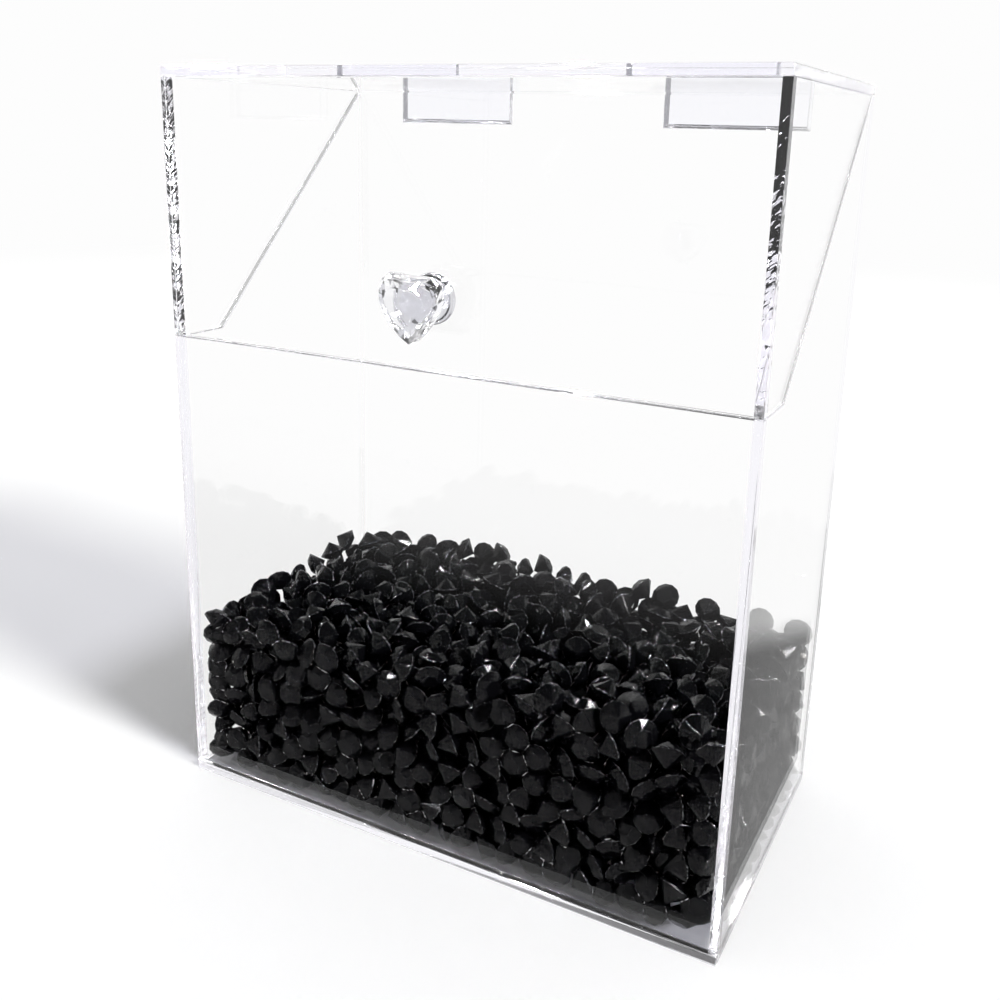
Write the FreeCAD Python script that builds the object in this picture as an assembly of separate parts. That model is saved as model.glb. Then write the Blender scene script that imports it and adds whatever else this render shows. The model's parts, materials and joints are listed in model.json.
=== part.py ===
import FreeCAD, Part
import math
import os
import random

# Clear acrylic brush box with a folding dust lid, standing on its bottom plate.
# Millimetres.  X runs to the right, Y to the back, Z up.  The origin is the middle of the
# underside of the bottom plate; the front face lies at y = -box_depth / 2.

Vector = FreeCAD.Vector
X_AXIS = Vector(1, 0, 0)
Y_AXIS = Vector(0, 1, 0)
Z_AXIS = Vector(0, 0, 1)

# ---- driving dimensions ---------------------------------------------------------------
box_width = 190.0
box_depth = 102.0
box_height = 238.0           # closed, to the top face of the lid
sheet = 3.0                  # acrylic sheet of every panel
front_height = 156.0         # top edge of the fixed front panel
ledge_depth = 20.0           # level stretch of the side panels, from the front face back
lid_gap = 0.3                # air between the closed lid and the box

hinge_inset = 20.5           # from the end of the box to the near end of each hinge
hinge_width = 46.0
leaf_length = 14.0           # from the edge of the panel to the free edge of the leaf
leaf_thickness = 2.0
leaf_bevel = 1.4             # bevel on the three free edges of a leaf
barrel_radius = 2.3
centre_knuckle = 18.0        # the lid leaf's knuckle; the box leaf has one on each side
knuckle_gap = 0.3
pin_radius = 1.0
pin_clearance = 0.05
pin_inset = 0.5              # each end of the pin, below the end of its knuckle

knob_rise = 21.0             # middle of the knob above the front panel's top edge
knob_offset = 2.0            # and to the right of the lid's middle
knob_turn = 2.0              # lean of the heart, in degrees, its tip towards the left
base_radius = 7.1
base_rim_width = 1.1
base_rim_height = 1.8
neck_radius = 3.2
neck_height = 4.4
seat_radius = 4.2
seat_height = 6.0            # where the crystal stands on its base
heart_width = 20.4
heart_height = 18.9
heart_drop = 1.6             # middle of the heart below the middle of its base
heart_back_depth = 5.0       # from the seat to the widest outline
heart_edge = 0.8             # height of the widest outline
heart_front_depth = 3.8      # from the widest outline to the table
heart_corners = 16
table_share = 0.56           # table of the heart, as a share of its outline
shoulder_share = 0.84        # ring of corners between outline and table
shoulder_rise = 0.55         # its place between them
foot_share = 0.36            # foot of the heart, as a share of its outline

screw_radius = 2.0           # M4 machine screw through the lid front
screw_clearance = 0.3
thread_clearance = 0.05
screw_engagement = 3.6
head_radius = 4.0
head_height = 2.4
head_bevel = 0.6
slot_width = 1.1
slot_depth = 1.2
washer_radius = 4.6
washer_thickness = 0.8

gem_diameter = 9.8
gem_crown = 2.1              # height above the girdle
gem_pavilion = 4.2           # depth below the girdle
gem_sides = 8
gem_table = 0.58             # table, as a share of the girdle
gem_spacing = 0.3            # least air between two gems, and below and beside them
heap_level = 56.5            # mean height of the settled gems under the top layer
heap_rise = 1.5              # how much higher they lie at the right wall than in the middle
heap_ripple = 1.4            # height of the gentle mounds
heap_wave = 95.0             # length from mound to mound
heap_step = 9.5              # spacing of the corners of the settled gems' rough sides
heap_relief = 3.4            # mean depth of the hollows in those sides
gem_seed = 11

# ---- sizes that follow ----------------------------------------------------------------
half_width = box_width / 2
half_depth = box_depth / 2
inner_half_width = half_width - sheet
inner_half_depth = half_depth - sheet
panel_top = box_height - sheet              # underside of the lid's top panel
back_top = panel_top - lid_gap
ledge_y = ledge_depth - half_depth
slant_angle = math.atan2(back_top - front_height, inner_half_depth - ledge_y)
lid_bottom = front_height + lid_gap
hinge_offset = half_width - hinge_inset - hinge_width / 2
knob_z = front_height + knob_rise
axis_y = half_depth + barrel_radius
axis_z = box_height + barrel_radius
gem_radius = gem_diameter / 2


def block(x, y, z):
    """A box from its three pairs of limits."""
    size = (x[1] - x[0], y[1] - y[0], z[1] - z[0])
    return Part.makeBox(*size, Vector(x[0], y[0], z[0]))


def slanted_edge(height, gap=0.0):
    """The y at which the cut between box and lid crosses a height."""
    rise = height - front_height
    return ledge_y - gap / math.sin(slant_angle) + rise / math.tan(slant_angle)


def side_panel(outline, side):
    """A side panel from its y, z outline; side is -1 on the left and 1 on the right."""
    start = -half_width if side < 0 else inner_half_width
    corners = [Vector(start, y, z) for y, z in outline]
    wire = Part.makePolygon(corners + corners[:1])
    return Part.Face(wire).extrude(Vector(sheet, 0, 0))


# ---- the box --------------------------------------------------------------------------
def bottom_plate():
    return block((-half_width, half_width), (-half_depth, half_depth), (0, sheet))


def front_panel():
    return block((-half_width, half_width), (-half_depth, -inner_half_depth),
                 (sheet, front_height))


def back_panel():
    return block((-half_width, half_width), (inner_half_depth, half_depth),
                 (sheet, back_top))


def box_side(side):
    """Full height at the back, cut down along the slant to the level of the front."""
    outline = [
        (-inner_half_depth, sheet),
        (inner_half_depth, sheet),
        (inner_half_depth, back_top),
        (ledge_y, front_height),
        (-inner_half_depth, front_height),
    ]
    return side_panel(outline, side)


# ---- the lid --------------------------------------------------------------------------
def lid_top():
    return block((-half_width, half_width), (-half_depth, half_depth - lid_gap),
                 (panel_top, box_height))


def lid_front():
    """The upper front panel, drilled for the knob's screw."""
    panel = block((-half_width, half_width), (-half_depth, -inner_half_depth),
                  (lid_bottom, panel_top))
    hole = knob_cylinder(screw_radius + screw_clearance, -sheet - 1, 1)
    return panel.cut(hole)


def lid_side(side):
    """The piece that the slant leaves over, a gap away from the box's side panel."""
    outline = [
        (-inner_half_depth, lid_bottom),
        (slanted_edge(lid_bottom, lid_gap), lid_bottom),
        (slanted_edge(panel_top, lid_gap), panel_top),
        (-inner_half_depth, panel_top),
    ]
    return side_panel(outline, side)


# ---- hinges ---------------------------------------------------------------------------
def x_cylinder(radius, x):
    return Part.makeCylinder(radius, x[1] - x[0], Vector(x[0], 0, 0), X_AXIS)


def hinge_leaf(own_spans, other_spans):
    """
    One moulded leaf about a hinge axis on X: an upright plate that hangs from the axis,
    bevelled on its free edges, with a barrel on its own spans and cut back on the others.
    """
    half = hinge_width / 2
    inner = -barrel_radius
    outer = inner + leaf_thickness
    shoulder = outer - leaf_bevel
    foot = -(barrel_radius + leaf_length)
    plate = block((-half, half), (inner, shoulder), (foot, 0))
    raised = Part.makeWedge(-half, shoulder, foot, foot + leaf_bevel, -half + leaf_bevel,
                            half, outer, 0, 0, half - leaf_bevel)
    leaf = plate.fuse(raised)
    for span in other_spans:
        leaf = leaf.cut(block(span, (inner - 1, outer + 1), (-barrel_radius - knuckle_gap, 1)))
    for span in own_spans:
        leaf = leaf.fuse(x_cylinder(barrel_radius, span))
    bore = x_cylinder(pin_radius + pin_clearance, (-half - 1, half + 1))
    return leaf.cut(bore).removeSplitter()


def outer_spans(inset):
    """The two stretches beside the centre knuckle."""
    half = hinge_width / 2
    start = centre_knuckle / 2 + inset
    return [(-half, -start), (start, half)]


def centre_span(extra):
    reach = centre_knuckle / 2 + extra
    return (-reach, reach)


def hinge_place(shape, side):
    return shape.translated(Vector(side * hinge_offset, axis_y, axis_z))


def box_leaf(side):
    leaf = hinge_leaf(outer_spans(knuckle_gap), [centre_span(knuckle_gap)])
    return hinge_place(leaf, side)


def lid_leaf(side):
    """The same leaf laid over onto the lid, by a mirror in the plane between the two."""
    leaf = hinge_leaf([centre_span(0)], outer_spans(0))
    laid_over = leaf.mirror(Vector(0, 0, 0), Vector(0, 1, -1))
    return hinge_place(laid_over, side)


def hinge_pin(side):
    reach = hinge_width / 2 - pin_inset
    return hinge_place(x_cylinder(pin_radius, (-reach, reach)), side)


# ---- faceted solids -------------------------------------------------------------------
def ring_facets(lower, upper):
    """Triangles between two rings, where upper[i] lies between lower[i] and lower[i + 1]."""
    count = len(lower)
    facets = []
    for i in range(count):
        following = (i + 1) % count
        facets.append([lower[i], lower[following], upper[i]])
        facets.append([lower[following], upper[following], upper[i]])
    return facets


def point_facets(ring, tip):
    count = len(ring)
    return [[ring[i], ring[(i + 1) % count], tip] for i in range(count)]


def wall_facets(lower, upper):
    count = len(lower)
    turn = [(i, (i + 1) % count) for i in range(count)]
    return [[lower[i], lower[j], upper[j], upper[i]] for i, j in turn]


def faceted_solid(facets):
    faces = [Part.Face(Part.makePolygon(corners + corners[:1])) for corners in facets]
    solid = Part.Solid(Part.Shell(faces))
    if solid.Volume < 0:
        solid.reverse()
    return solid


# ---- the knob -------------------------------------------------------------------------
def knob_place(shape):
    """From a frame whose Z points out of the lid front to the knob's place on it."""
    turned = shape.copy()
    turned.rotate(Vector(0, 0, 0), X_AXIS, 90)
    turned.translate(Vector(knob_offset, -half_depth, knob_z))
    return turned


def knob_cylinder(radius, start, end):
    """A round bar on the knob's axis; distances count forwards from the lid's face."""
    return knob_place(Part.makeCylinder(radius, end - start, Vector(0, 0, start)))


def straight_edges(corners):
    return [Part.LineSegment(a, b).toShape() for a, b in zip(corners, corners[1:])]


def turned_solid(edges):
    wire = Part.Wire(edges)
    return Part.Face(wire).revolve(Vector(0, 0, 0), Z_AXIS, 360)


def knob_base():
    """A turned metal foot: bevelled rim, dished face, waisted neck and the crystal's seat."""
    rim_edge = base_radius - base_rim_width
    rim_bevel = base_rim_width / 2
    profile = [
        Vector(0, 0, seat_height),
        Vector(0, 0, 0),
        Vector(base_radius, 0, 0),
        Vector(base_radius, 0, base_rim_height - rim_bevel),
        Vector(base_radius - rim_bevel, 0, base_rim_height),
        Vector(rim_edge, 0, base_rim_height),
        Vector(neck_radius + (rim_edge - neck_radius) * 0.3, 0,
               base_rim_height + (neck_height - base_rim_height) * 0.3),
        Vector(neck_radius, 0, neck_height),
        Vector(seat_radius, 0, seat_height),
    ]
    thread = Part.makeCylinder(screw_radius + thread_clearance,
                               screw_engagement + 2 * thread_clearance)
    return knob_place(turned_solid(straight_edges(profile + profile[:1])).cut(thread))


def heart_ring(share, height, shift=0.0):
    """Corners of a heart outline, scaled about the knob's axis, at a height above the lid."""
    ring = []
    for i in range(heart_corners):
        angle = 2 * math.pi * (i + shift) / heart_corners
        across = math.sin(angle) * abs(math.sin(angle)) ** 0.2 / 2
        up = (10 * math.cos(angle) - 2.1 * math.cos(2 * angle)
              - 0.5 * math.cos(4 * angle) + 2.4) / 20.4
        ring.append(Vector(across * heart_width * share,
                           (up * heart_height - heart_drop) * share, height))
    return ring


def knob_heart():
    """A heart cut as a crystal: foot, pavilion, edge, two rows of crown facets, table."""
    edge_bottom = seat_height + heart_back_depth
    edge_top = edge_bottom + heart_edge
    table_height = edge_top + heart_front_depth
    shoulder_height = edge_top + heart_front_depth * shoulder_rise
    foot = heart_ring(foot_share, seat_height, -0.5)
    lower = heart_ring(1, edge_bottom)
    upper = heart_ring(1, edge_top)
    shoulder = heart_ring(shoulder_share, shoulder_height, 0.5)
    table = heart_ring(table_share, table_height, 1)
    facets = [list(reversed(foot))]
    facets += ring_facets(foot, lower)
    facets += wall_facets(lower, upper)
    facets += ring_facets(upper, shoulder)
    facets += ring_facets(shoulder, table)
    facets.append(table)
    heart = faceted_solid(facets)
    heart.rotate(Vector(0, 0, 0), Z_AXIS, -knob_turn)
    return knob_place(heart)


def knob_screw():
    """A slotted cheese-head screw: its head inside the lid, its shank in the knob's base."""
    head_seat = -(sheet + washer_thickness)
    crown = head_seat - head_height
    profile = [
        Vector(0, 0, head_seat),
        Vector(head_radius, 0, head_seat),
        Vector(head_radius, 0, crown + head_bevel),
        Vector(head_radius - head_bevel, 0, crown),
        Vector(0, 0, crown),
        Vector(0, 0, head_seat),
    ]
    shank = Part.makeCylinder(screw_radius, screw_engagement - head_seat,
                              Vector(0, 0, head_seat))
    slot = block((-head_radius, head_radius), (-slot_width / 2, slot_width / 2),
                 (crown - 1, crown + slot_depth))
    head = turned_solid(straight_edges(profile))
    return knob_place(head.fuse(shank).cut(slot))


def knob_washer():
    outside = knob_cylinder(washer_radius, -sheet - washer_thickness, -sheet)
    return outside.cut(knob_cylinder(screw_radius + screw_clearance, -sheet - 10, 10))


# ---- gems -----------------------------------------------------------------------------
def heap_height(x, y):
    """Height of the settled gems: higher to the right, with gentle mounds."""
    turn = 2 * math.pi / heap_wave
    mounds = math.sin(x * turn + 0.6) * math.cos(y * turn - 0.4)
    return heap_level + heap_rise * x / inner_half_width + heap_ripple * mounds


def bed_counts():
    """How many steps the settled gems' surface takes across, back and up."""
    sizes = (2 * inner_half_width, 2 * inner_half_depth, heap_level - sheet)
    return [max(2, round(size / heap_step)) for size in sizes]


def bed_corners():
    """Corners of that surface: below the rim, every other one stands back from its wall."""
    draw = random.Random(gem_seed)
    across, back, up = bed_counts()
    corners = {}
    for i in range(across + 1):
        for j in range(back + 1):
            for k in range(up + 1):
                at_wall = i in (0, across) or j in (0, back)
                if not (at_wall or k == up):
                    continue
                hollow = (i + j + k) % 2 * (k < up) * heap_relief * draw.uniform(0.6, 1.4)
                x = (2 * i / across - 1) * (inner_half_width - gem_spacing)
                y = (2 * j / back - 1) * (inner_half_depth - gem_spacing)
                z = sheet + (heap_height(x, y) - sheet) * k / up
                x += hollow * ((i == 0) - (i == across))
                y += hollow * ((j == 0) - (j == back))
                corners[i, j, k] = Vector(x, y, z)
    return corners


def rough_facets(corners, columns, rows, place):
    """Two triangles for each square of a side, split from one outer corner to the other."""
    facets = []
    for m in range(columns):
        for n in range(rows):
            square = [place(m, n), place(m + 1, n), place(m + 1, n + 1), place(m, n + 1)]
            turn = sum(square[0]) % 2
            a, b, c, d = [corners[key] for key in square[turn:] + square[:turn]]
            facets += [[a, b, c], [a, c, d]]
    return facets


def gem_bed():
    """The settled gems below the top layer: one rough-faceted block from wall to wall."""
    across, back, up = bed_counts()
    corners = bed_corners()
    facets = rough_facets(corners, across, back, lambda m, n: (m, n, up))
    facets += rough_facets(corners, across, up, lambda m, n: (m, 0, n))
    facets += rough_facets(corners, up, across, lambda m, n: (n, back, m))
    facets += rough_facets(corners, up, back, lambda m, n: (0, n, m))
    facets += rough_facets(corners, back, up, lambda m, n: (across, m, n))
    rim = [(i, 0, 0) for i in range(across)] + [(across, j, 0) for j in range(back)]
    rim += [(i, back, 0) for i in range(across, 0, -1)] + [(0, j, 0) for j in range(back, 0, -1)]
    facets.append([corners[key] for key in reversed(rim)])
    return faceted_solid(facets)


def gem_ring(radius, height, shift):
    angles = [2 * math.pi * (i + shift) / gem_sides for i in range(gem_sides)]
    return [Vector(radius * math.cos(a), radius * math.sin(a), height) for a in angles]


def cut_gem():
    """A round brilliant: pointed pavilion, two rows of crown facets and a flat table."""
    girdle = gem_ring(gem_radius, 0, 0)
    table = gem_ring(gem_radius * gem_table, gem_crown, 0.5)
    culet = Vector(0, 0, -gem_pavilion)
    facets = point_facets(list(reversed(girdle)), culet)
    facets += ring_facets(girdle, table)
    facets.append(table)
    return faceted_solid(facets)


def gem_places():
    """Staggered rows that keep neighbours clear of each other whichever way they lie."""
    pitch = gem_diameter + gem_spacing
    row_pitch = pitch * math.sin(math.pi / 3)
    reach_x = inner_half_width - gem_radius - gem_spacing
    reach_y = inner_half_depth - gem_radius - gem_spacing
    columns = int(2 * reach_x / pitch)
    rows = int(2 * reach_y / row_pitch)
    places = []
    for row in range(rows + 1):
        odd = row % 2
        y = (row - rows / 2) * row_pitch
        for column in range(columns + 1 - odd):
            places.append(((column - (columns - odd) / 2) * pitch, y))
    return places


def top_gems():
    """The loose gems on top, each resting as it fell."""
    draw = random.Random(gem_seed)
    gem = cut_gem()
    gems = []
    for x, y in gem_places():
        spin = FreeCAD.Rotation(Z_AXIS, draw.uniform(0, 360))
        tilt = FreeCAD.Rotation(X_AXIS, draw.uniform(0, 180))
        turn = FreeCAD.Rotation(Z_AXIS, draw.uniform(0, 360))
        lying = turn.multiply(tilt).multiply(spin)
        corners = [lying.multVec(vertex.Point) for vertex in gem.Vertexes]
        seat = max(heap_height(x + c.x, y + c.y) - c.z for c in corners)
        loose = gem.copy()
        loose.Placement = FreeCAD.Placement(Vector(x, y, seat + gem_spacing), lying)
        gems.append(loose)
    return Part.makeCompound(gems)


# ---- the pieces -----------------------------------------------------------------------
def all_pieces():
    pieces = {
        "bottom_plate": bottom_plate(),
        "front_panel": front_panel(),
        "back_panel": back_panel(),
        "gem_bed": gem_bed(),
        "top_gems": top_gems(),
        "lid_top": lid_top(),
        "lid_front": lid_front(),
        "knob_base": knob_base(),
        "knob_heart": knob_heart(),
        "knob_screw": knob_screw(),
        "knob_washer": knob_washer(),
    }
    for name, side in (("left", -1), ("right", 1)):
        pieces[f"{name}_side_panel"] = box_side(side)
        pieces[f"lid_{name}_side"] = lid_side(side)
        pieces[f"{name}_hinge_box_leaf"] = box_leaf(side)
        pieces[f"{name}_hinge_lid_leaf"] = lid_leaf(side)
        pieces[f"{name}_hinge_pin"] = hinge_pin(side)
    return pieces


os.makedirs("parts", exist_ok=True)
for name, shape in all_pieces().items():
    shape.exportStep(f"parts/{name}.step")
    print(name, len(shape.Solids), round(shape.Volume), shape.isValid())
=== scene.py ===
import json
import math

import bpy
import numpy as np
from mathutils import Matrix, Quaternion, Vector


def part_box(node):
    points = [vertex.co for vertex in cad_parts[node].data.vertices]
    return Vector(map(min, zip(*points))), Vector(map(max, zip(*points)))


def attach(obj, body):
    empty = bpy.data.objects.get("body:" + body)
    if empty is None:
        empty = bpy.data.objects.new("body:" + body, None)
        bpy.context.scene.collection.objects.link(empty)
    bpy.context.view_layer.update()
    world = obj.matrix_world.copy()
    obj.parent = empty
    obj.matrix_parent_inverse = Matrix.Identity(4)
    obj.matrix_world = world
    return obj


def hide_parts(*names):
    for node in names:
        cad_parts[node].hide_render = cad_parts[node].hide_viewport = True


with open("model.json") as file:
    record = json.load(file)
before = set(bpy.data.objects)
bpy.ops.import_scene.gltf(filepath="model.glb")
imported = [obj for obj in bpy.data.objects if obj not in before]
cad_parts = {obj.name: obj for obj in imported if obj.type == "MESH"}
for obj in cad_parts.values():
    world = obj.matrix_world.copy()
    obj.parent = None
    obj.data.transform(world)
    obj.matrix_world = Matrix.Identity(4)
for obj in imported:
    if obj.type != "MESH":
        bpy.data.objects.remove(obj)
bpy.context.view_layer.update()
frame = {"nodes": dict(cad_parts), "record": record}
mm = 0.001  # Blender works in metres, the sizes below are millimetres
bodies = frame["record"]["behaviour"]["bodies"]
bodyOf = {node: body for body, nodes in bodies.items() for node in nodes}
print("frame loaded:", len(bodyOf), "nodes")


# an sRGB hex code as the linear colour that a socket takes
def linearColour(hexCode):
    values = [int(hexCode[i:i + 2], 16) / 255 for i in (1, 3, 5)]
    return [v / 12.92 if v <= 0.04045 else ((v + 0.055) / 1.055) ** 2.4 for v in values] + [1.0]


# one node with its settings, each input given as a value or as the socket that feeds it
def addNode(tree, kind, settings=None, inputs=None):
    node = tree.nodes.new(kind)
    for name, value in (settings or {}).items():
        setattr(node, name, value)
    for name, value in (inputs or {}).items():
        if isinstance(value, bpy.types.NodeSocket):
            tree.links.new(value, node.inputs[name])
        else:
            node.inputs[name].default_value = value
    return node


def newMaterial(name):
    material = bpy.data.materials.new(name)
    material.use_nodes = True
    material.node_tree.nodes.clear()
    return material, material.node_tree


def newObject(name, data):
    item = bpy.data.objects.new(name, data)
    bpy.context.scene.collection.objects.link(item)
    return item


def newPiece(name, mesh, body):
    piece = newObject(name, mesh)
    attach(piece, body)
    return piece


# the way to a thing that stands at this azimuth from the front and this elevation, in degrees
def towards(azimuth, elevation):
    azimuth, elevation = math.radians(azimuth), math.radians(elevation)
    return Vector((math.sin(azimuth) * math.cos(elevation), -math.cos(azimuth) * math.cos(elevation),
                   math.sin(elevation)))


finish = {
    "weld": 0.001,   # a CAD node's triangles are loose: corners this near are one, in mm
    "sharp": 25,     # edges that turn by more than this are softened, in degrees
}


# a CAD node's own look: its corners joined, a hair of air in its joints, its edges softened
def finishNode(name, material, gap=0, arris=0, segments=2):
    piece = frame["nodes"][name]
    piece.data.materials.clear()
    piece.data.materials.append(material)
    weld = piece.modifiers.new("joinCorners", "WELD")
    weld.merge_threshold = finish["weld"] * mm
    if gap:
        shrink = piece.modifiers.new("jointGap", "DISPLACE")
        shrink.mid_level = 0
        shrink.strength = -gap * mm
    if arris:
        bevel = piece.modifiers.new("softEdges", "BEVEL")
        bevel.width = arris * mm
        bevel.segments = segments
        bevel.limit_method = "ANGLE"
        bevel.angle_limit = math.radians(finish["sharp"])


# noise whose grain has a real size in millimetres, stretched by three factors and turned by three
# angles; where a range is given, the middle of the noise is spread over it
def grain(tree, size, over=None, detail=2.0, stretch=(1, 1, 1), turn=(0, 0, 0), middle=(0.35, 0.65)):
    where = addNode(tree, "ShaderNodeTexCoord")
    laid = addNode(tree, "ShaderNodeMapping", {"vector_type": "TEXTURE"}, {
        "Vector": where.outputs["Object"], "Rotation": [math.radians(t) for t in turn],
        "Scale": [size * mm * k for k in stretch]})
    noise = addNode(tree, "ShaderNodeTexNoise", inputs={
        "Vector": laid.outputs[0], "Scale": 1.0, "Detail": detail}).outputs["Fac"]
    if over is None:
        return noise
    return addNode(tree, "ShaderNodeMapRange", inputs={
        "Value": noise, "From Min": middle[0], "From Max": middle[1],
        "To Min": over[0], "To Max": over[1]}).outputs[0]


# how squarely a face looks along an axis of its sheet: 1 straight along it, 0 across it
def facing(tree, axis):
    where = addNode(tree, "ShaderNodeTexCoord")
    parts = addNode(tree, "ShaderNodeSeparateXYZ", inputs={0: where.outputs["Normal"]})
    return addNode(tree, "ShaderNodeMath", {"operation": "ABSOLUTE"},
                   {0: parts.outputs[axis]}).outputs[0]


# a clear body for what is seen, plain tinted air for lamps and soft light
def clearShader(tree, ior, shade, colour, roughness, normal):
    body = addNode(tree, "ShaderNodeBsdfPrincipled", inputs={
        "Base Color": colour, "Roughness": roughness, "IOR": ior,
        "Transmission Weight": 1.0, "Normal": normal})
    air = addNode(tree, "ShaderNodeBsdfTransparent", inputs={"Color": linearColour(shade)})
    path = addNode(tree, "ShaderNodeLightPath")
    soft = addNode(tree, "ShaderNodeMath", {"operation": "MAXIMUM"},
                   {0: path.outputs["Is Shadow Ray"], 1: path.outputs["Is Diffuse Ray"]})
    mix = addNode(tree, "ShaderNodeMixShader", inputs={
        0: soft.outputs[0], 1: body.outputs[0], 2: air.outputs[0]})
    addNode(tree, "ShaderNodeOutputMaterial", inputs={"Surface": mix.outputs[0]})


# cast acrylic sheet: laser cut and flame polished, so the faces are glass clear and the
# cut edges carry a faint lavender tint along their long light path
acrylic = {
    "face": "#FFFFFF",
    "edge": "#F9F8FD",
    "ior": 1.49,
    "iorPanel": 1.35,       # the upright sheets, which would else mirror too much of the room
    "shade": "#E8E8EB",     # what a lamp keeps of its light through one surface
    "edgeTurn": 0.5,        # faces turned further than this from the sheet's own are cut edges
    "edgeRough": (0.01, 0.06),
    "meltGrain": 1.6,       # grain of the flame polish along the cut edges, in mm
    "wave": 45.0,           # cast sheet is never quite flat: length of its waves, in mm
    "waveHeight": 0.012,
    "jointGap": 0.03,       # air left in the glued joints, in mm
    "arris": 0.25,          # rounding of the polished edges, in mm
}


# clear sheet whose thin direction is the given axis
def acrylicSheet(name, axis, ior):
    material, tree = newMaterial(name)
    cut = addNode(tree, "ShaderNodeMath", {"operation": "LESS_THAN"},
                  {0: facing(tree, axis), 1: acrylic["edgeTurn"]})
    tint = addNode(tree, "ShaderNodeMix", {"data_type": "RGBA"}, {
        0: cut.outputs[0], 6: linearColour(acrylic["face"]), 7: linearColour(acrylic["edge"])})
    rough = addNode(tree, "ShaderNodeMath", {"operation": "MULTIPLY"}, {
        0: cut.outputs[0], 1: grain(tree, acrylic["meltGrain"], acrylic["edgeRough"])})
    waves = addNode(tree, "ShaderNodeBump", inputs={
        "Height": grain(tree, acrylic["wave"], detail=1.0), "Strength": 1.0,
        "Distance": acrylic["waveHeight"] * mm})
    clearShader(tree, ior, acrylic["shade"], tint.outputs[2], rough.outputs[0], waves.outputs[0])
    return material


sheets = [
    (acrylicSheet("castAcrylicSide", "X", acrylic["iorPanel"]),
     ["left_side_panel", "right_side_panel", "lid_left_side", "lid_right_side"]),
    (acrylicSheet("castAcrylicFront", "Y", acrylic["iorPanel"]),
     ["front_panel", "back_panel", "lid_front"]),
    (acrylicSheet("castAcrylicFlat", "Z", acrylic["ior"]), ["bottom_plate", "lid_top"]),
]
for material, names in sheets:
    for name in names:
        finishNode(name, material, acrylic["jointGap"], acrylic["arris"])
print("acrylic sheets done")


# the lid's sides are glued to its front along a saw-cut edge; a thin film in the joint carries painted
# shade: black flecks that run across the edge at a slant stand for the dark look of the saw marks
cement = {
    "thickness": 0.024,     # in mm, inside the air of the joint
    "inset": 0.06,
    # painted shade: the black of the flecks
    "colour": "#0B0B0D",
    "roughness": 0.25,
    "specular": 0.05,
    "fleck": 0.55,          # grain of the flecks across, in mm
    "long": 4.0,            # and how much longer they are along their slant
    "slant": 48,            # in degrees
    "patch": 6.6,           # size of the stretches with more and fewer flecks, in mm, and what they add to the flecks' share
    "uneven": (-0.15, 0.15),  # and what they add to the dry share
    "noise": (0.33, 0.67),  # none of the flecks' noise lies below the first, all below the second
    "joints": {             # name: panel, share of black flecks at its foot and at its top
        "lid_left_glue_shade": ("lid_left_side", 0.42, 0.50),
        "lid_right_glue_shade": ("lid_right_side", -0.15, 1.05),
    },
}


# painted shade: cement film between two heights, black-flecked by the share foot at the lower one and top
# at the upper one
def paintedJointShade(name, low, high, foot, top):
    material, tree = newMaterial(name)
    where = addNode(tree, "ShaderNodeTexCoord")
    parts = addNode(tree, "ShaderNodeSeparateXYZ", inputs={0: where.outputs["Object"]})
    share = addNode(tree, "ShaderNodeMapRange", {"interpolation_type": "SMOOTHSTEP"}, {
        "Value": parts.outputs["Z"], "From Min": low, "From Max": high, "To Min": foot, "To Max": top})
    wanted = addNode(tree, "ShaderNodeMath", {"operation": "ADD"}, {
        0: share.outputs[0], 1: grain(tree, cement["patch"], cement["uneven"], detail=1.0)})
    least, most = cement["noise"]
    level = addNode(tree, "ShaderNodeMapRange", inputs={
        "Value": wanted.outputs[0], "To Min": least, "To Max": most})
    flecks = grain(tree, cement["fleck"], detail=3.0, stretch=(1, 1, cement["long"]),
                   turn=(0, cement["slant"], 0))
    # painted shade: where the flecks' noise lies below the level, the film is black
    shadeFleck = addNode(tree, "ShaderNodeMath", {"operation": "LESS_THAN"}, {0: flecks, 1: level.outputs[0]})
    shadeFilm = addNode(tree, "ShaderNodeBsdfPrincipled", inputs={
        "Base Color": linearColour(cement["colour"]), "Roughness": cement["roughness"],
        "Specular IOR Level": cement["specular"], "Alpha": shadeFleck.outputs[0]})
    addNode(tree, "ShaderNodeOutputMaterial", inputs={"Surface": shadeFilm.outputs[0]})
    return material


def glueFilmShade(name, node, foot, top):
    low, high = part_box(node)
    inset, half = cement["inset"] * mm, cement["thickness"] / 2 * mm
    x0, x1, z0, z1 = low.x + inset, high.x - inset, low.z + inset, high.z - inset
    outline = ((x0, z0), (x1, z0), (x1, z1), (x0, z1))
    corners = [(x, low.y + step, z) for step in (-half, half) for x, z in outline]
    faces = [(0, 1, 2, 3), (7, 6, 5, 4), (0, 4, 5, 1), (1, 5, 6, 2), (2, 6, 7, 3), (3, 7, 4, 0)]
    mesh = bpy.data.meshes.new(name)
    mesh.from_pydata(corners, [], faces)
    panel = node.title().replace("_", "")
    mesh.materials.append(paintedJointShade("paintedJointShade" + panel, z0, z1, foot, top))
    newPiece(name, mesh, bodyOf[node])


for name, (node, foot, top) in cement["joints"].items():
    glueFilmShade(name, node, foot, top)
print("glued joints done")


# hinge leaves and pins: injection moulded clear plastic, with the faint flow of the melt
moulded = {
    "face": "#FAFAFE",
    "ior": 1.49,
    "shade": "#D8D8E0",
    "rough": (0.0, 0.03),
    "flow": 3.0,            # width of the flow marks, in mm
    "flowLong": 2.5,        # and how much longer they are upwards
    "flowHeight": 0.02,
    "gap": 0.03,
    "bevel": "#5C5C63",     # painted shade: the leaves' bevels are tinted grey for the dark lines their sharp edges show
    "bevelTurn": (0.2, 0.9),  # faces whose own direction has this share along the leaf's axis
}


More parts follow.
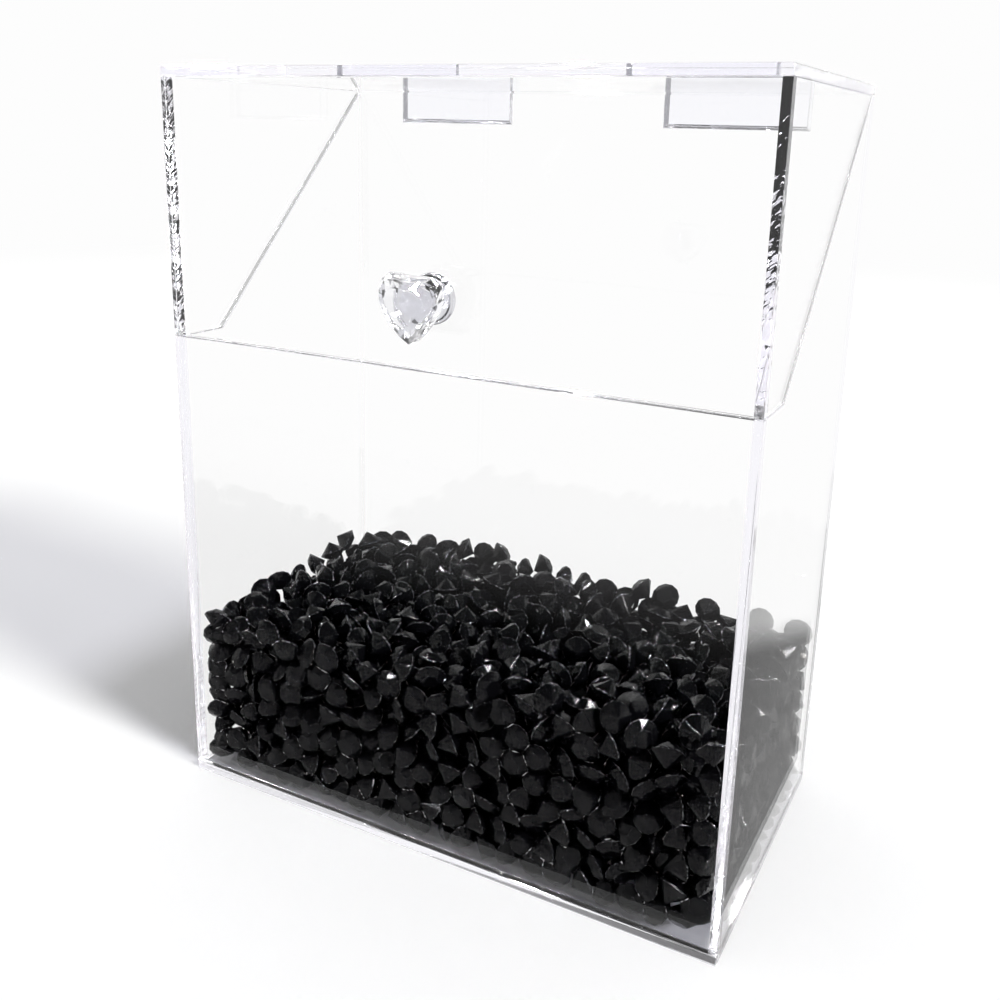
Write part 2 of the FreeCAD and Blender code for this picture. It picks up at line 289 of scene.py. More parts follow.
def mouldedPlastic(name, axis):
    material, tree = newMaterial(name)
    marks = {"stretch": (1, 1, moulded["flowLong"])}
    ripples = addNode(tree, "ShaderNodeBump", inputs={
        "Height": grain(tree, moulded["flow"], **marks), "Strength": 1.0,
        "Distance": moulded["flowHeight"] * mm})
    low, high = moulded["bevelTurn"]
    # painted shade: the faces that are bevels get the grey tint
    paintedBevelShade = addNode(tree, "ShaderNodeMath", {"operation": "COMPARE"},
                      {0: facing(tree, axis), 1: (low + high) / 2, 2: (high - low) / 2})
    tint = addNode(tree, "ShaderNodeMix", {"data_type": "RGBA"}, {
        0: paintedBevelShade.outputs[0], 6: linearColour(moulded["face"]), 7: linearColour(moulded["bevel"])})
    clearShader(tree, moulded["ior"], moulded["shade"], tint.outputs[2],
                grain(tree, moulded["flow"], moulded["rough"], **marks), ripples.outputs[0])
    return material


hinges = {
    "box_leaf": mouldedPlastic("mouldedClearBoxLeaf", "Y"),
    "lid_leaf": mouldedPlastic("mouldedClearLidLeaf", "Z"),
    "pin": mouldedPlastic("mouldedClearPin", "X"),
}
for side in ("left", "right"):
    for part, material in hinges.items():
        finishNode(f"{side}_hinge_{part}", material, moulded["gap"])
print("hinges done")


# the gems: black acrylic, moulded as round brilliants and tumbled into the box
gems = {
    "diameter": 9.7,
    "crown": 2.1,         # height of the flat top above the middle of the rim
    "pavilion": 4.4,      # depth of the point below it
    "girdle": 0.35,       # thickness of the rim
    "sides": 12,
    "table": 0.58,        # width of the flat top, as a share of the diameter
    "sizeSpread": 0.07,
    "seed": 5,
    "spacing": 8.6,       # centre to centre once the heap has settled
    "wallAir": 0.12,      # between a gem and the wall it leans on
    "level": 66.5,        # top of the heap in the middle
    "rise": 2.5,          # how much higher it lies at the right wall
    "ripple": 1.6,        # height of its mounds,
    "wave": 95.0,         # their distance,
    "shift": (0.6, -0.4),  # and where they start, in radians
    "uneven": 2.0,        # how far single gems stand above or below the heap
    "fill": 0.63,         # share of the room that spheres of that spacing take
    "rounds": 300,
    "look": 10,           # rounds after which each gem's neighbours are looked up again,
    "lookReach": 1.4,     # and how far off, as a share of the spacing
    "ease": 0.8,          # share of an overlap that one round takes away
    "sink": 0.05,         # how far each gem sinks in a round, in mm
    "lean": 1.15,         # a gem nearer to a wall than this share of half the spacing leans on it
    "flush": (0.8, 0.35, 0.8, 0.8, 0.8),  # share of these lying flat: left, right, front, back, floor
    "facets": (0.25, 0.15, 0.15, 0.45),   # on the table, a kite, a triangle, the pavilion
}
sheetThickness = (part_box("bottom_plate")[1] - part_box("bottom_plate")[0]).z / mm
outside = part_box("bottom_plate")[1] / mm
room = {"half": (outside.x - sheetThickness, outside.y - sheetThickness), "floor": sheetThickness}


# height of the heap's top over a spot on the floor, in mm
def heapTop(x, y):
    turn = 2 * math.pi / gems["wave"]
    mounds = np.sin(x * turn + gems["shift"][0]) * np.cos(y * turn + gems["shift"][1])
    return gems["level"] + gems["rise"] * x / room["half"][0] + gems["ripple"] * mounds


# index pairs of centres nearer to each other than reach, looked up a block of rows at a time
def closePairs(centres, reach, rows=256):
    found = []
    for start in range(0, len(centres), rows):
        block = centres[start:start + rows]
        apart = ((block[:, None, :] - centres[None, :, :]) ** 2).sum(2)
        first, second = np.nonzero(apart < reach * reach)
        first += start
        keep = first < second
        found.append(np.stack([first[keep], second[keep]]))
    return np.concatenate(found, axis=1)


# centres of the gems, pushed apart until they no longer crowd each other
def settleGems():
    draw = np.random.default_rng(gems["seed"])
    reach = gems["spacing"] / 2
    half = np.array(room["half"])
    ball = math.pi / 6 * gems["spacing"] ** 3
    volume = 4 * half[0] * half[1] * (gems["level"] - room["floor"])
    count = int(gems["fill"] * volume / ball)
    centres = draw.uniform([-half[0], -half[1], room["floor"]], [half[0], half[1], gems["level"]],
                           (count, 3))
    ownTop = draw.uniform(-gems["uneven"], gems["uneven"], count)
    low = np.array([-half[0] + reach, -half[1] + reach, room["floor"] + reach])
    high = np.array([half[0] - reach, half[1] - reach])
    for turn in range(gems["rounds"]):
        if turn % gems["look"] == 0:
            first, second = closePairs(centres, gems["spacing"] * gems["lookReach"])
        apart = centres[second] - centres[first]
        length = np.maximum(np.linalg.norm(apart, axis=1), 1e-6)  # never divided by nothing
        push = np.maximum(gems["spacing"] - length, 0) * 0.5
        step = apart / length[:, None] * push[:, None] * gems["ease"]
        move = np.zeros_like(centres)
        np.add.at(move, second, step)
        np.add.at(move, first, -step)
        centres += move
        centres[:, 2] -= gems["sink"]
        top = heapTop(centres[:, 0], centres[:, 1]) + ownTop - reach
        centres = np.maximum(centres, low)
        centres[:, :2] = np.minimum(centres[:, :2], high)
        centres[:, 2] = np.minimum(centres[:, 2], top)
    return centres, draw


# corners of one gem: the point, the rim's two rings and the table
def gemCorners():
    radius, count, half = gems["diameter"] / 2, gems["sides"], gems["girdle"] / 2
    rings = ((1, -half, count, 0), (1, half, count, 0), (gems["table"], gems["crown"], count // 2, 0.5))
    corners = [(0, 0, -gems["pavilion"])]
    for share, height, sides, shift in rings:
        for i in range(sides):
            angle = 2 * math.pi * (i + shift) / sides
            corners.append((radius * share * math.cos(angle), radius * share * math.sin(angle), height))
    return np.array(corners)


# outward normals of one facet of each kind: table, crown kite, crown triangle, pavilion
def facetNormals(corners):
    count = gems["sides"]
    lower, upper, table = corners[1:count + 1], corners[count + 1:2 * count + 1], corners[2 * count + 1:]
    kinds = [(table[0], table[1], table[2]), (upper[2], table[1], table[0]),
             (upper[0], upper[1], table[0]), (lower[1], lower[0], corners[0])]
    normals = [np.cross(b - a, c - a) for a, b, c in kinds]
    return [Vector(n / np.linalg.norm(n)) for n in normals]


# each gem's place, turn and size: flat against a wall where it meets one, else as it fell
def layGems():
    centres, draw = settleGems()
    corners = gemCorners()
    normals = facetNormals(corners)
    half = room["half"]
    walls = [(Vector((-1, 0, 0)), half[0]), (Vector((1, 0, 0)), half[0]),
             (Vector((0, -1, 0)), half[1]), (Vector((0, 1, 0)), half[1]),
             (Vector((0, 0, -1)), -room["floor"])]
    reach = gems["spacing"] / 2 * gems["lean"]
    places, turns, sizes = [], [], []
    for centre in centres:
        spot = Vector(centre)
        size = 1 + draw.uniform(-1, 1) * gems["sizeSpread"]
        quaternion = Quaternion(draw.normal(size=4)).normalized()
        gaps = [limit - spot.dot(wall) for wall, limit in walls]
        nearest = int(np.argmin(gaps))
        atWall = gaps[nearest] < reach
        if atWall and draw.random() < gems["flush"][nearest]:
            normal = normals[draw.choice(len(normals), p=gems["facets"])]
            wall = walls[nearest][0]
            spin = Quaternion(wall, draw.uniform(0, 2 * math.pi))
            quaternion = spin @ normal.rotation_difference(wall)
        turned = corners @ np.array(quaternion.to_matrix()).T * size
        for index, (wall, limit) in enumerate(walls):
            furthest = (turned @ np.array(wall)).max() + spot.dot(wall)
            beyond = furthest - (limit - gems["wallAir"])
            if beyond > 0 or (atWall and index == nearest):
                spot -= wall * beyond
        places.append(spot * mm)
        turns.append(quaternion.to_euler())
        sizes.append(size)
    return places, turns, sizes


def socketId(tree, name):
    return next(i.identifier for i in tree.interface.items_tree
                if i.item_type == "SOCKET" and i.in_out == "INPUT" and i.name == name)


# Geometry Nodes: one cut gem, set on every point of the heap and turned as it lies
def gemTree(material):
    tree = bpy.data.node_groups.new("tumbledGems", "GeometryNodeTree")
    tree.interface.new_socket("Geometry", in_out="INPUT", socket_type="NodeSocketGeometry")
    for name in ("diameter", "crown", "pavilion", "girdle", "table"):
        tree.interface.new_socket(name, in_out="INPUT", socket_type="NodeSocketFloat")
    tree.interface.new_socket("sides", in_out="INPUT", socket_type="NodeSocketInt")
    tree.interface.new_socket("Geometry", in_out="OUTPUT", socket_type="NodeSocketGeometry")
    given = addNode(tree, "NodeGroupInput").outputs
    radius = addNode(tree, "ShaderNodeMath", {"operation": "MULTIPLY"}, {0: given["diameter"], 1: 0.5})
    tableRadius = addNode(tree, "ShaderNodeMath", {"operation": "MULTIPLY"},
                          {0: radius.outputs[0], 1: given["table"]})
    tableSides = addNode(tree, "ShaderNodeMath", {"operation": "DIVIDE"}, {0: given["sides"], 1: 2})
    halfStep = addNode(tree, "ShaderNodeMath", {"operation": "DIVIDE"},
                       {0: math.pi, 1: tableSides.outputs[0]})
    rim = addNode(tree, "GeometryNodeMeshCircle",
                  inputs={"Vertices": given["sides"], "Radius": radius.outputs[0]})
    table = addNode(tree, "GeometryNodeMeshCircle",
                    inputs={"Vertices": tableSides.outputs[0], "Radius": tableRadius.outputs[0]})
    up = addNode(tree, "ShaderNodeCombineXYZ", inputs={"Z": given["crown"]})
    aside = addNode(tree, "ShaderNodeCombineXYZ", inputs={"Z": halfStep.outputs[0]})
    raised = addNode(tree, "GeometryNodeTransform", inputs={
        "Geometry": table.outputs[0], "Translation": up.outputs[0], "Rotation": aside.outputs[0]})
    rings = []
    for share in (-0.5, 0.5):
        height = addNode(tree, "ShaderNodeMath", {"operation": "MULTIPLY"},
                         {0: given["girdle"], 1: share})
        lift = addNode(tree, "ShaderNodeCombineXYZ", inputs={"Z": height.outputs[0]})
        rings.append(addNode(tree, "GeometryNodeTransform", inputs={
            "Geometry": rim.outputs[0], "Translation": lift.outputs[0]}))
    depth = addNode(tree, "ShaderNodeMath", {"operation": "MULTIPLY"}, {0: given["pavilion"], 1: -1})
    down = addNode(tree, "ShaderNodeCombineXYZ", inputs={"Z": depth.outputs[0]})
    point = addNode(tree, "GeometryNodeMeshLine", {"mode": "OFFSET"},
                    {"Count": 1, "Start Location": down.outputs[0]})
    allCorners = addNode(tree, "GeometryNodeJoinGeometry")
    for part in (*rings, raised, point):
        tree.links.new(part.outputs[0], allCorners.inputs[0])
    cut = addNode(tree, "GeometryNodeConvexHull", inputs={0: allCorners.outputs[0]})
    lie = addNode(tree, "GeometryNodeInputNamedAttribute", {"data_type": "FLOAT_VECTOR"},
                  {"Name": "lie"})
    size = addNode(tree, "GeometryNodeInputNamedAttribute", {"data_type": "FLOAT"}, {"Name": "size"})
    tumbled = addNode(tree, "GeometryNodeInstanceOnPoints", inputs={
        "Points": given["Geometry"], "Instance": cut.outputs[0],
        "Rotation": lie.outputs[0], "Scale": size.outputs[0]})
    real = addNode(tree, "GeometryNodeRealizeInstances", inputs={0: tumbled.outputs[0]})
    flat = addNode(tree, "GeometryNodeSetShadeSmooth", inputs={
        "Geometry": real.outputs[0], "Shade Smooth": False})
    painted = addNode(tree, "GeometryNodeSetMaterial", inputs={
        "Geometry": flat.outputs[0], "Material": material})
    addNode(tree, "NodeGroupOutput", inputs={0: painted.outputs[0]})
    return tree


def tumbleGems(material):
    places, turns, sizes = layGems()
    points = bpy.data.meshes.new("gemPoints")
    points.from_pydata(places, [], [])
    lie = points.attributes.new("lie", "FLOAT_VECTOR", "POINT")
    lie.data.foreach_set("vector", np.array(turns, np.float32).ravel())
    size = points.attributes.new("size", "FLOAT", "POINT")
    size.data.foreach_set("value", np.array(sizes, np.float32))
    holder = newObject("gemHolder", points)
    tree = gemTree(material)
    modifier = holder.modifiers.new("tumbledGems", "NODES")
    modifier.node_group = tree
    for name in ("diameter", "crown", "pavilion", "girdle"):
        modifier[socketId(tree, name)] = gems[name] * mm
    for name in ("table", "sides"):
        modifier[socketId(tree, name)] = gems[name]
    bpy.context.view_layer.update()
    graph = bpy.context.evaluated_depsgraph_get()
    mesh = bpy.data.meshes.new_from_object(holder.evaluated_get(graph))
    mesh.name = "tumbledGems"
    holder.modifiers.clear()
    bpy.data.objects.remove(holder)
    piece = newPiece("tumbled_gems", mesh, "box")
    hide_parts("gem_bed", "top_gems")
    print("gems tumbled:", len(places), "gems,", len(mesh.polygons), "facets")


# black moulded acrylic: deep black and glossy, its facets meet in slightly rounded edges, which catch
# the light in thin lines; a rubbed grey along them is partly wear and partly painted highlight, and
# white metallic spots on the sharpest edges and corners are painted glints
gemBlack = {
    "colour": "#0C0C0E",
    # partly wear, partly painted highlight: the grey of the rubbed rims, which reads as lit lines
    "rubbedAndHighlit": "#3A3A3E",
    "glintColour": "#E4E4E8",   # painted glints: white metallic spots on the sharpest edges and corners
    "ior": 1.49,
    "specular": 0.15,       # keeps the flat facets as dark as they are in a white room
    "roughness": (0.0, 0.035),
    "handling": 5.0,        # size of the duller patches, in mm
    "edgeRound": 0.32,      # in mm
    "edgeRough": 0.12,
    "edgeTurn": (0.90, 0.985),  # cosines between which a rounded edge starts and is whole
    "rubHighlightGrain": 0.8,        # length of the rubbed stretches of an edge, which are partly wear and partly painted highlight, in mm, and the noise's values where they start and are whole
    "rubHighlightShare": (0.50, 0.60),   # and the noise's values where they start and are whole
    "glintTurn": (0.86, 0.92),   # the same for the painted glints
    "glintGrain": 0.9,
    "glintShare": (0.545, 0.56),
}


def blackAcrylic():
    material, tree = newMaterial("blackMouldedAcrylic")
    rounded = addNode(tree, "ShaderNodeBevel", {"samples": 4}, {"Radius": gemBlack["edgeRound"] * mm})
    form = addNode(tree, "ShaderNodeNewGeometry")
    turned = addNode(tree, "ShaderNodeVectorMath", {"operation": "DOT_PRODUCT"},
                     {0: rounded.outputs[0], 1: form.outputs["Normal"]})
    edges, corners = (addNode(tree, "ShaderNodeMapRange", inputs={
        "Value": turned.outputs["Value"], "From Min": low, "From Max": high,
        "To Min": 1.0, "To Max": 0.0}).outputs[0]
        for low, high in (gemBlack["edgeTurn"], gemBlack["glintTurn"]))
    stretches = grain(tree, gemBlack["rubHighlightGrain"], (0, 1), detail=3.0, middle=gemBlack["rubHighlightShare"])
    # painted highlight, partly wear: grey stretches along the rounded rims
    rubAndHighlight = addNode(tree, "ShaderNodeMath", {"operation": "MULTIPLY"}, {0: edges, 1: stretches})
    wornAndHighlit = addNode(tree, "ShaderNodeMix", {"data_type": "RGBA"}, {
        0: rubAndHighlight.outputs[0], 6: linearColour(gemBlack["colour"]), 7: linearColour(gemBlack["rubbedAndHighlit"])})
    spots = grain(tree, gemBlack["glintGrain"], (0, 1), detail=1.0, middle=gemBlack["glintShare"])
    # painted glint: the spots' mask, which sets a white metallic colour
    glintMask = addNode(tree, "ShaderNodeMath", {"operation": "MULTIPLY"}, {0: corners, 1: spots})
    tone = addNode(tree, "ShaderNodeMix", {"data_type": "RGBA"}, {
        0: glintMask.outputs[0], 6: wornAndHighlit.outputs[2], 7: linearColour(gemBlack["glintColour"])})
    dull = addNode(tree, "ShaderNodeMix", {"data_type": "FLOAT"}, {
        0: edges, 2: grain(tree, gemBlack["handling"], gemBlack["roughness"]),
        3: gemBlack["edgeRough"]})
    body = addNode(tree, "ShaderNodeBsdfPrincipled", inputs={
        "Base Color": tone.outputs[2], "IOR": gemBlack["ior"], "Normal": rounded.outputs[0],
        "Specular IOR Level": gemBlack["specular"], "Roughness": dull.outputs[0],
        "Metallic": glintMask.outputs[0]})
    addNode(tree, "ShaderNodeOutputMaterial", inputs={"Surface": body.outputs[0]})
    return material


tumbleGems(blackAcrylic())


# the knob's heart: lead crystal, cut on a wheel and acid polished, so clear and sharp edged
crystal = {
    "face": "#FCFCFE",
    "ior": 1.52,
    "shade": "#D5D5DD",
    "rough": (0.0, 0.02),
    "wheel": 0.4,           # width of the polishing wheel's marks, in mm,
    "wheelLong": 6,         # how much longer they are,
    "wheelSlant": 20,       # their slant in degrees
    "wheelHeight": 0.0015,  # and their height in mm
    "gap": 0.02,
    "arris": 0.15,
}


def cutCrystal():
    material, tree = newMaterial("cutLeadCrystal")
    marks = {"stretch": (crystal["wheelLong"], 1, 1), "turn": (0, crystal["wheelSlant"], 0)}
    wheel = addNode(tree, "ShaderNodeBump", inputs={
        "Height": grain(tree, crystal["wheel"], **marks), "Strength": 1.0,
        "Distance": crystal["wheelHeight"] * mm})
    clearShader(tree, crystal["ior"], crystal["shade"], linearColour(crystal["face"]),
                grain(tree, crystal["wheel"], crystal["rough"], **marks), wheel.outputs[0])
    return material


# its foot, screw and washer: turned brass, chrome plated, so bright with a faint ripple
# of the plating and a few duller patches from fingers
chrome = {
    "colour": "#D8D8DC",
    "rough": (0.04, 0.12),
    "touch": 2.5,           # size of the duller patches, in mm
    "plating": 0.5,         # length of the ripple and its height, in mm
    "platingHeight": 0.0012,
}


def chromePlate():
    material, tree = newMaterial("brightChromePlate")
    ripple = addNode(tree, "ShaderNodeBump", inputs={
        "Height": grain(tree, chrome["plating"]), "Strength": 1.0,
        "Distance": chrome["platingHeight"] * mm})
    plate = addNode(tree, "ShaderNodeBsdfPrincipled", inputs={
        "Base Color": linearColour(chrome["colour"]), "Metallic": 1.0, "Normal": ripple.outputs[0],
        "Roughness": grain(tree, chrome["touch"], chrome["rough"])})
    addNode(tree, "ShaderNodeOutputMaterial", inputs={"Surface": plate.outputs[0]})
    return material


finishNode("knob_heart", cutCrystal(), crystal["gap"], crystal["arris"], 1)
brightChrome = chromePlate()
for name in ("knob_base", "knob_screw", "knob_washer"):
    finishNode(name, brightChrome)
print("knob done")


# a flat four-cornered thing on the stage; a hidden one shows only in mirrored and bent rays
def stageSheet(name, corners, material, hidden=False):
    mesh = bpy.data.meshes.new(name)
    mesh.from_pydata(corners, [], [(0, 1, 2, 3)])
    mesh.materials.append(material)
    item = newObject(name, mesh)
    if hidden:
        item.visible_camera = item.visible_diffuse = item.visible_shadow = False
    return item


seenWhite = "#FDFDFD"  # what the camera, metal and glass see of the room


# the floor: matt white paper, plain white for the camera far off, where its shading would show
paper = {
    "colour": "#FAFAFA",
    "half": 4.0,         # half its size, in metres
    "plainFrom": 0.9,    # the paper turns plain from here to there, in metres from the middle
    "plainTo": 1.8,
}


def makeFloor():
    material, tree = newMaterial("palePaper")
    where = addNode(tree, "ShaderNodeTexCoord")
    away = addNode(tree, "ShaderNodeVectorMath", {"operation": "LENGTH"}, {0: where.outputs["Object"]})
    fade = addNode(tree, "ShaderNodeMapRange", {"interpolation_type": "SMOOTHSTEP"}, {
        "Value": away.outputs["Value"], "From Min": paper["plainFrom"], "From Max": paper["plainTo"]})
    matt = addNode(tree, "ShaderNodeBsdfDiffuse", inputs={"Color": linearColour(paper["colour"])})
    plain = addNode(tree, "ShaderNodeEmission", inputs={"Color": linearColour(seenWhite), "Strength": 1.0})
    path = addNode(tree, "ShaderNodeLightPath")  # glass and metal show it plain, with no shadow
    shiny = addNode(tree, "ShaderNodeMath", {"operation": "MAXIMUM"},
                    {0: path.outputs["Is Glossy Ray"], 1: path.outputs["Is Transmission Ray"]})
    parts = addNode(tree, "ShaderNodeSeparateXYZ", inputs={0: where.outputs["Object"]})
    beside = []  # not below the box, where the shadow shows through the bottom plate
    for axis, half in (("X", outside.x), ("Y", outside.y)):
        off = addNode(tree, "ShaderNodeMath", {"operation": "ABSOLUTE"}, {0: parts.outputs[axis]})
        beside.append(addNode(tree, "ShaderNodeMath", {"operation": "GREATER_THAN"},
                              {0: off.outputs[0], 1: half * mm}).outputs[0])
    around = addNode(tree, "ShaderNodeMath", {"operation": "MAXIMUM"}, {0: beside[0], 1: beside[1]})
    bare = addNode(tree, "ShaderNodeMath", {"operation": "MULTIPLY"},
                   {0: shiny.outputs[0], 1: around.outputs[0]})
    share = addNode(tree, "ShaderNodeMath", {"operation": "MAXIMUM"},
                    {0: fade.outputs[0], 1: bare.outputs[0]})
    mix = addNode(tree, "ShaderNodeMixShader", inputs={
        0: share.outputs[0], 1: matt.outputs[0], 2: plain.outputs[0]})
    addNode(tree, "ShaderNodeOutputMaterial", inputs={"Surface": mix.outputs[0]})
    half = paper["half"]
    stageSheet("floor", [(-half, -half, 0), (half, -half, 0), (half, half, 0), (-half, half, 0)], material)


# the room: plain white for the camera, softer on matt surfaces, and with a dark ceiling for
# rays that were mirrored or bent
sky = {
    "soft": 0.52,        # its strength on matt surfaces
    "wallTop": 30,       # the white wall ends at this elevation, and the ceiling is whole
    "wallFade": 14,      # so much further up, in degrees
    "ceiling": 0.12,     # what is left of the white there,
    "ceilingKnob": 0.03,  # and where a ray passed no more than one sheet, as in the knob
    "passed": 2,         # surfaces of one sheet
    "window": (-61, 58),      # azimuth and elevation of a soft paler patch in the ceiling,
    "windowWidth": (18, 30),  # its plain and its whole half-width, in degrees,
    "windowLight": 0.50,      # and how much of the ceiling's darkness it takes away
}


def makeSky():
    world = bpy.data.worlds.new("studio")
    bpy.context.scene.world = world
    world.use_nodes = True
    tree = world.node_tree
    tree.nodes.clear()
    path = addNode(tree, "ShaderNodeLightPath")
    shiny = addNode(tree, "ShaderNodeMath", {"operation": "MAXIMUM"},
                    {0: path.outputs["Is Glossy Ray"], 1: path.outputs["Is Transmission Ray"]})
    seen = addNode(tree, "ShaderNodeMath", {"operation": "MAXIMUM"},
                   {0: shiny.outputs[0], 1: path.outputs["Is Camera Ray"]})
    strength = addNode(tree, "ShaderNodeMapRange", inputs={
        "Value": seen.outputs[0], "To Min": sky["soft"], "To Max": 1.0})
    where = addNode(tree, "ShaderNodeTexCoord")
    parts = addNode(tree, "ShaderNodeSeparateXYZ", inputs={0: where.outputs["Generated"]})
    wallTop, whole = (math.sin(math.radians(a)) for a in (sky["wallTop"], sky["wallTop"] + sky["wallFade"]))
    overhead = addNode(tree, "ShaderNodeMapRange", {"interpolation_type": "SMOOTHSTEP"}, {
        "Value": parts.outputs["Z"], "From Min": wallTop, "From Max": whole})
    bends = addNode(tree, "ShaderNodeMath", {"operation": "ADD"}, {
        0: path.outputs["Glossy Depth"], 1: path.outputs["Transmission Depth"]})
    bent = addNode(tree, "ShaderNodeMath", {"operation": "GREATER_THAN"}, {0: bends.outputs[0], 1: 0.5})
    shallow = addNode(tree, "ShaderNodeMath", {"operation": "LESS_THAN"},
                      {0: path.outputs["Transmission Depth"], 1: sky["passed"] + 0.5})
    depth = addNode(tree, "ShaderNodeMapRange", inputs={
        "Value": shallow.outputs[0], "To Min": 1 - sky["ceiling"], "To Max": 1 - sky["ceilingKnob"]})
    nearWindow = addNode(tree, "ShaderNodeVectorMath", {"operation": "DOT_PRODUCT"},
                         {0: where.outputs["Generated"], 1: towards(*sky["window"])})
    inner, outer = (math.cos(math.radians(a)) for a in sky["windowWidth"])
    paler = addNode(tree, "ShaderNodeMapRange", {"interpolation_type": "SMOOTHSTEP"}, {
        "Value": nearWindow.outputs["Value"], "From Min": outer, "From Max": inner, "To Min": 1.0,
        "To Max": 1 - sky["windowLight"]})
    dark = overhead.outputs[0]
    for factor in (bent, paler, depth):
        dark = addNode(tree, "ShaderNodeMath", {"operation": "MULTIPLY"},
                       {0: dark, 1: factor.outputs[0]}).outputs[0]
    level = addNode(tree, "ShaderNodeMath", {"operation": "SUBTRACT", "use_clamp": True},
                    {0: strength.outputs[0], 1: dark})
    light = addNode(tree, "ShaderNodeBackground", inputs={
        "Color": linearColour(seenWhite), "Strength": level.outputs[0]})
    addNode(tree, "ShaderNodeOutputWorld", inputs={"Surface": light.outputs[0]})


key = {"azimuth": 82, "elevation": 33, "power": 3.6, "width": 14}  # a wide soft sun, in degrees
sparks = {  # small bright lamps that the glossy facets show as glints, sizes in metres
    "distance": 1.1,
    "power": 14.0,
    "size": 0.05,
    "places": ((20, 62), (75, 70), (-40, 55), (150, 60), (-110, 48), (210, 50), (-10, 80),
               (50, 38), (0, 36), (-60, 34), (110, 40), (180, 42), (60, 50), (-75, 45),
               (8, 48), (130, 52), (35, 45), (-25, 42), (-5, 55), (40, 72), (90, 55),
               (160, 38), (-140, 60), (-90, 65)),  # azimuth and elevation of each
}


def hangLamp(lamp, azimuth, elevation, distance):
    lamp.location = towards(azimuth, elevation) * distance
    lamp.rotation_euler = lamp.location.to_track_quat("Z", "Y").to_euler()


def makeLamps():
    data = bpy.data.lights.new("keyRight", "SUN")
    data.energy = key["power"]
    data.angle = math.radians(key["width"])
    hangLamp(newObject("keyRight", data), key["azimuth"], key["elevation"], 1)
    for azimuth, elevation in sparks["places"]:
        data = bpy.data.lights.new("spark", "AREA")
        data.shape = "DISK"
        data.size = sparks["size"]
        data.energy = sparks["power"]
        lamp = newObject("spark", data)
        lamp.visible_camera = lamp.visible_diffuse = False
        hangLamp(lamp, azimuth, elevation, sparks["distance"])


# a black card, solid by the given share, for rays that were mirrored from once to so many
# times and passed no more than so many surfaces, and air for all others
def cardShader(tree, mirrored, passed, solid=1.0):
    path = addNode(tree, "ShaderNodeLightPath")
    bounced = addNode(tree, "ShaderNodeMath", {"operation": "COMPARE"}, {
        0: path.outputs["Glossy Depth"], 1: (mirrored + 1) / 2, 2: mirrored / 2 - 0.1})
    early = addNode(tree, "ShaderNodeMath", {"operation": "LESS_THAN"},
                    {0: path.outputs["Transmission Depth"], 1: passed + 0.5})
    seen = addNode(tree, "ShaderNodeMath", {"operation": "MULTIPLY"},
                   {0: bounced.outputs[0], 1: early.outputs[0]})
    share = addNode(tree, "ShaderNodeMath", {"operation": "MULTIPLY"}, {0: seen.outputs[0], 1: solid})
    air = addNode(tree, "ShaderNodeBsdfTransparent")
    black = addNode(tree, "ShaderNodeBsdfDiffuse", inputs={"Color": linearColour("#000000")})
    mix = addNode(tree, "ShaderNodeMixShader", inputs={
        0: share.outputs[0], 1: air.outputs[0], 2: black.outputs[0]})
    addNode(tree, "ShaderNodeOutputMaterial", inputs={"Surface": mix.outputs[0]})


collar = {  # cards close around the box up to the gems' height, seen only by rays that a panel
            # mirrored once, so that the panels don't lay the room's white over the gems; in metres
    "away": 0.003,
    "foot": 0.0055,
    "backShort": 0.0036,  # the back one is shorter at its ends, or the sides' outer faces mirror it
    "sides": {  # height at the first and the second end, soft part of it, share let through,
                # and how many surfaces a ray may have passed on its way
        "front": (0.125, 0.125, 0.045, 0.0, 2), "left": (0.085, 0.085, 0.02, 0.0, 2),
        "back": (0.085, 0.085, 0.02, 0.0, 0), "right": (0.105, 0.063, 0.013, 0.30, 2),
    },
}


def makeCollar():
    x, y = outside.x * mm + collar["away"], outside.y * mm + collar["away"]
    foot, backX = collar["foot"], x - collar["backShort"]
    runs = {"front": ((-x, -y), (x, -y)), "right": ((x, -y), (x, y)),
            "back": ((backX, y), (-backX, y)), "left": ((-x, y), (-x, -y))}
    for side, (first, second, fade, openShare, passed) in collar["sides"].items():
        material, tree = newMaterial(side + "Card")
        where = addNode(tree, "ShaderNodeUVMap", {"uv_map": "height"})
        up = addNode(tree, "ShaderNodeSeparateXYZ", inputs={0: where.outputs[0]})
        solid = addNode(tree, "ShaderNodeMapRange", {"interpolation_type": "SMOOTHSTEP"}, {
            "Value": up.outputs["Y"], "From Min": -fade, "From Max": 0.0,
            "To Min": 1 - openShare, "To Max": 0.0})
        cardShader(tree, 1, passed, solid.outputs[0])
        (x0, y0), (x1, y1) = runs[side]
        corners = [(x0, y0, foot), (x1, y1, foot), (x1, y1, second), (x0, y0, first)]
        card = stageSheet(side + "Card", corners, material, hidden=True)
        below = card.data.uv_layers.new(name="height").data  # each corner's height from the upper edge
        for corner, height in zip(below, (foot - first, foot - second, 0, 0)):
            corner.uv = (0, height)


flag = {  # a black flag before the knob, seen only in its chrome and crystal, in mm from its middle
    "left": -18.0,
    "right": -2.0,
    "low": -12.0,
    "high": 3.0,
    "before": 4.0,   # from the heart's front
    "mirrored": 64,  # any number of times
    "passed": 2,
}


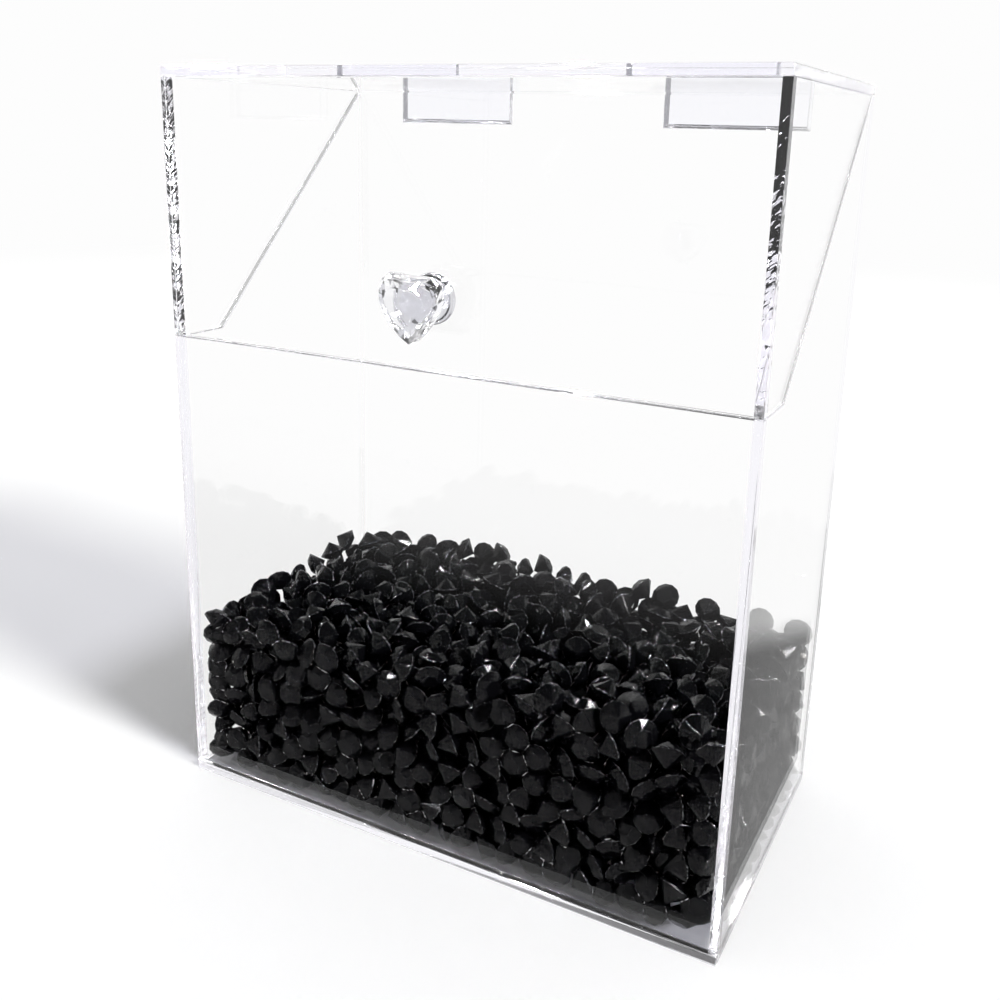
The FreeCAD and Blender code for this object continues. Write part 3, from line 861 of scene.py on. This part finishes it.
def makeFlag():
    low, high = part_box("knob_heart")
    middle = (low + high) / 2
    y = low.y - flag["before"] * mm
    x0, x1 = (middle.x + flag[side] * mm for side in ("left", "right"))
    z0, z1 = (middle.z + flag[side] * mm for side in ("low", "high"))
    material, tree = newMaterial("blackFlag")
    cardShader(tree, flag["mirrored"], flag["passed"])
    stageSheet("blackFlag", [(x0, y, z0), (x1, y, z0), (x1, y, z1), (x0, y, z1)], material, hidden=True)


view = {
    "place": (0.15512, -0.29591, 0.22148),  # in metres
    "azimuth": 27.503,       # in degrees, as the next two
    "elevation": 14.531,
    "roll": 1.4937,
    "lens": 38.204,          # in mm, on a sensor as wide as this
    "sensor": 36,
    "shift": (-0.01369, -0.09269),
    "nearest": 0.01,         # what is nearer than this isn't drawn, in metres
}


def makeCamera():
    data = bpy.data.cameras.new("camera")
    data.sensor_width = view["sensor"]
    data.lens = view["lens"]
    data.shift_x, data.shift_y = view["shift"]
    data.clip_start = view["nearest"]
    camera = newObject("camera", data)
    azimuth, roll = math.radians(view["azimuth"]), math.radians(view["roll"])
    back = towards(view["azimuth"], view["elevation"])
    right = Vector((math.cos(azimuth), math.sin(azimuth), 0))
    up = back.cross(right)
    across = right * math.cos(roll) + up * math.sin(roll)
    above = up * math.cos(roll) - right * math.sin(roll)
    turn = Matrix((across, above, back)).transposed()
    camera.matrix_world = Matrix.Translation(view["place"]) @ turn.to_4x4()
    bpy.context.scene.camera = camera


makeFloor()
makeSky()
makeLamps()
makeCollar()
makeFlag()
makeCamera()
rays = {
    "bounces": 64,       # light leaves the slanted edges and the crystal after many of them
    "clearLayers": 32,
    "brightest": 60,     # a lower limit would take away the gems' glints
}
scene = bpy.context.scene
scene.view_settings.view_transform = "Standard"
scene.cycles.max_bounces = rays["bounces"]
scene.cycles.transmission_bounces = rays["bounces"]
scene.cycles.glossy_bounces = rays["bounces"]
scene.cycles.transparent_max_bounces = rays["clearLayers"]
scene.cycles.sample_clamp_indirect = rays["brightest"]
print("stage done")
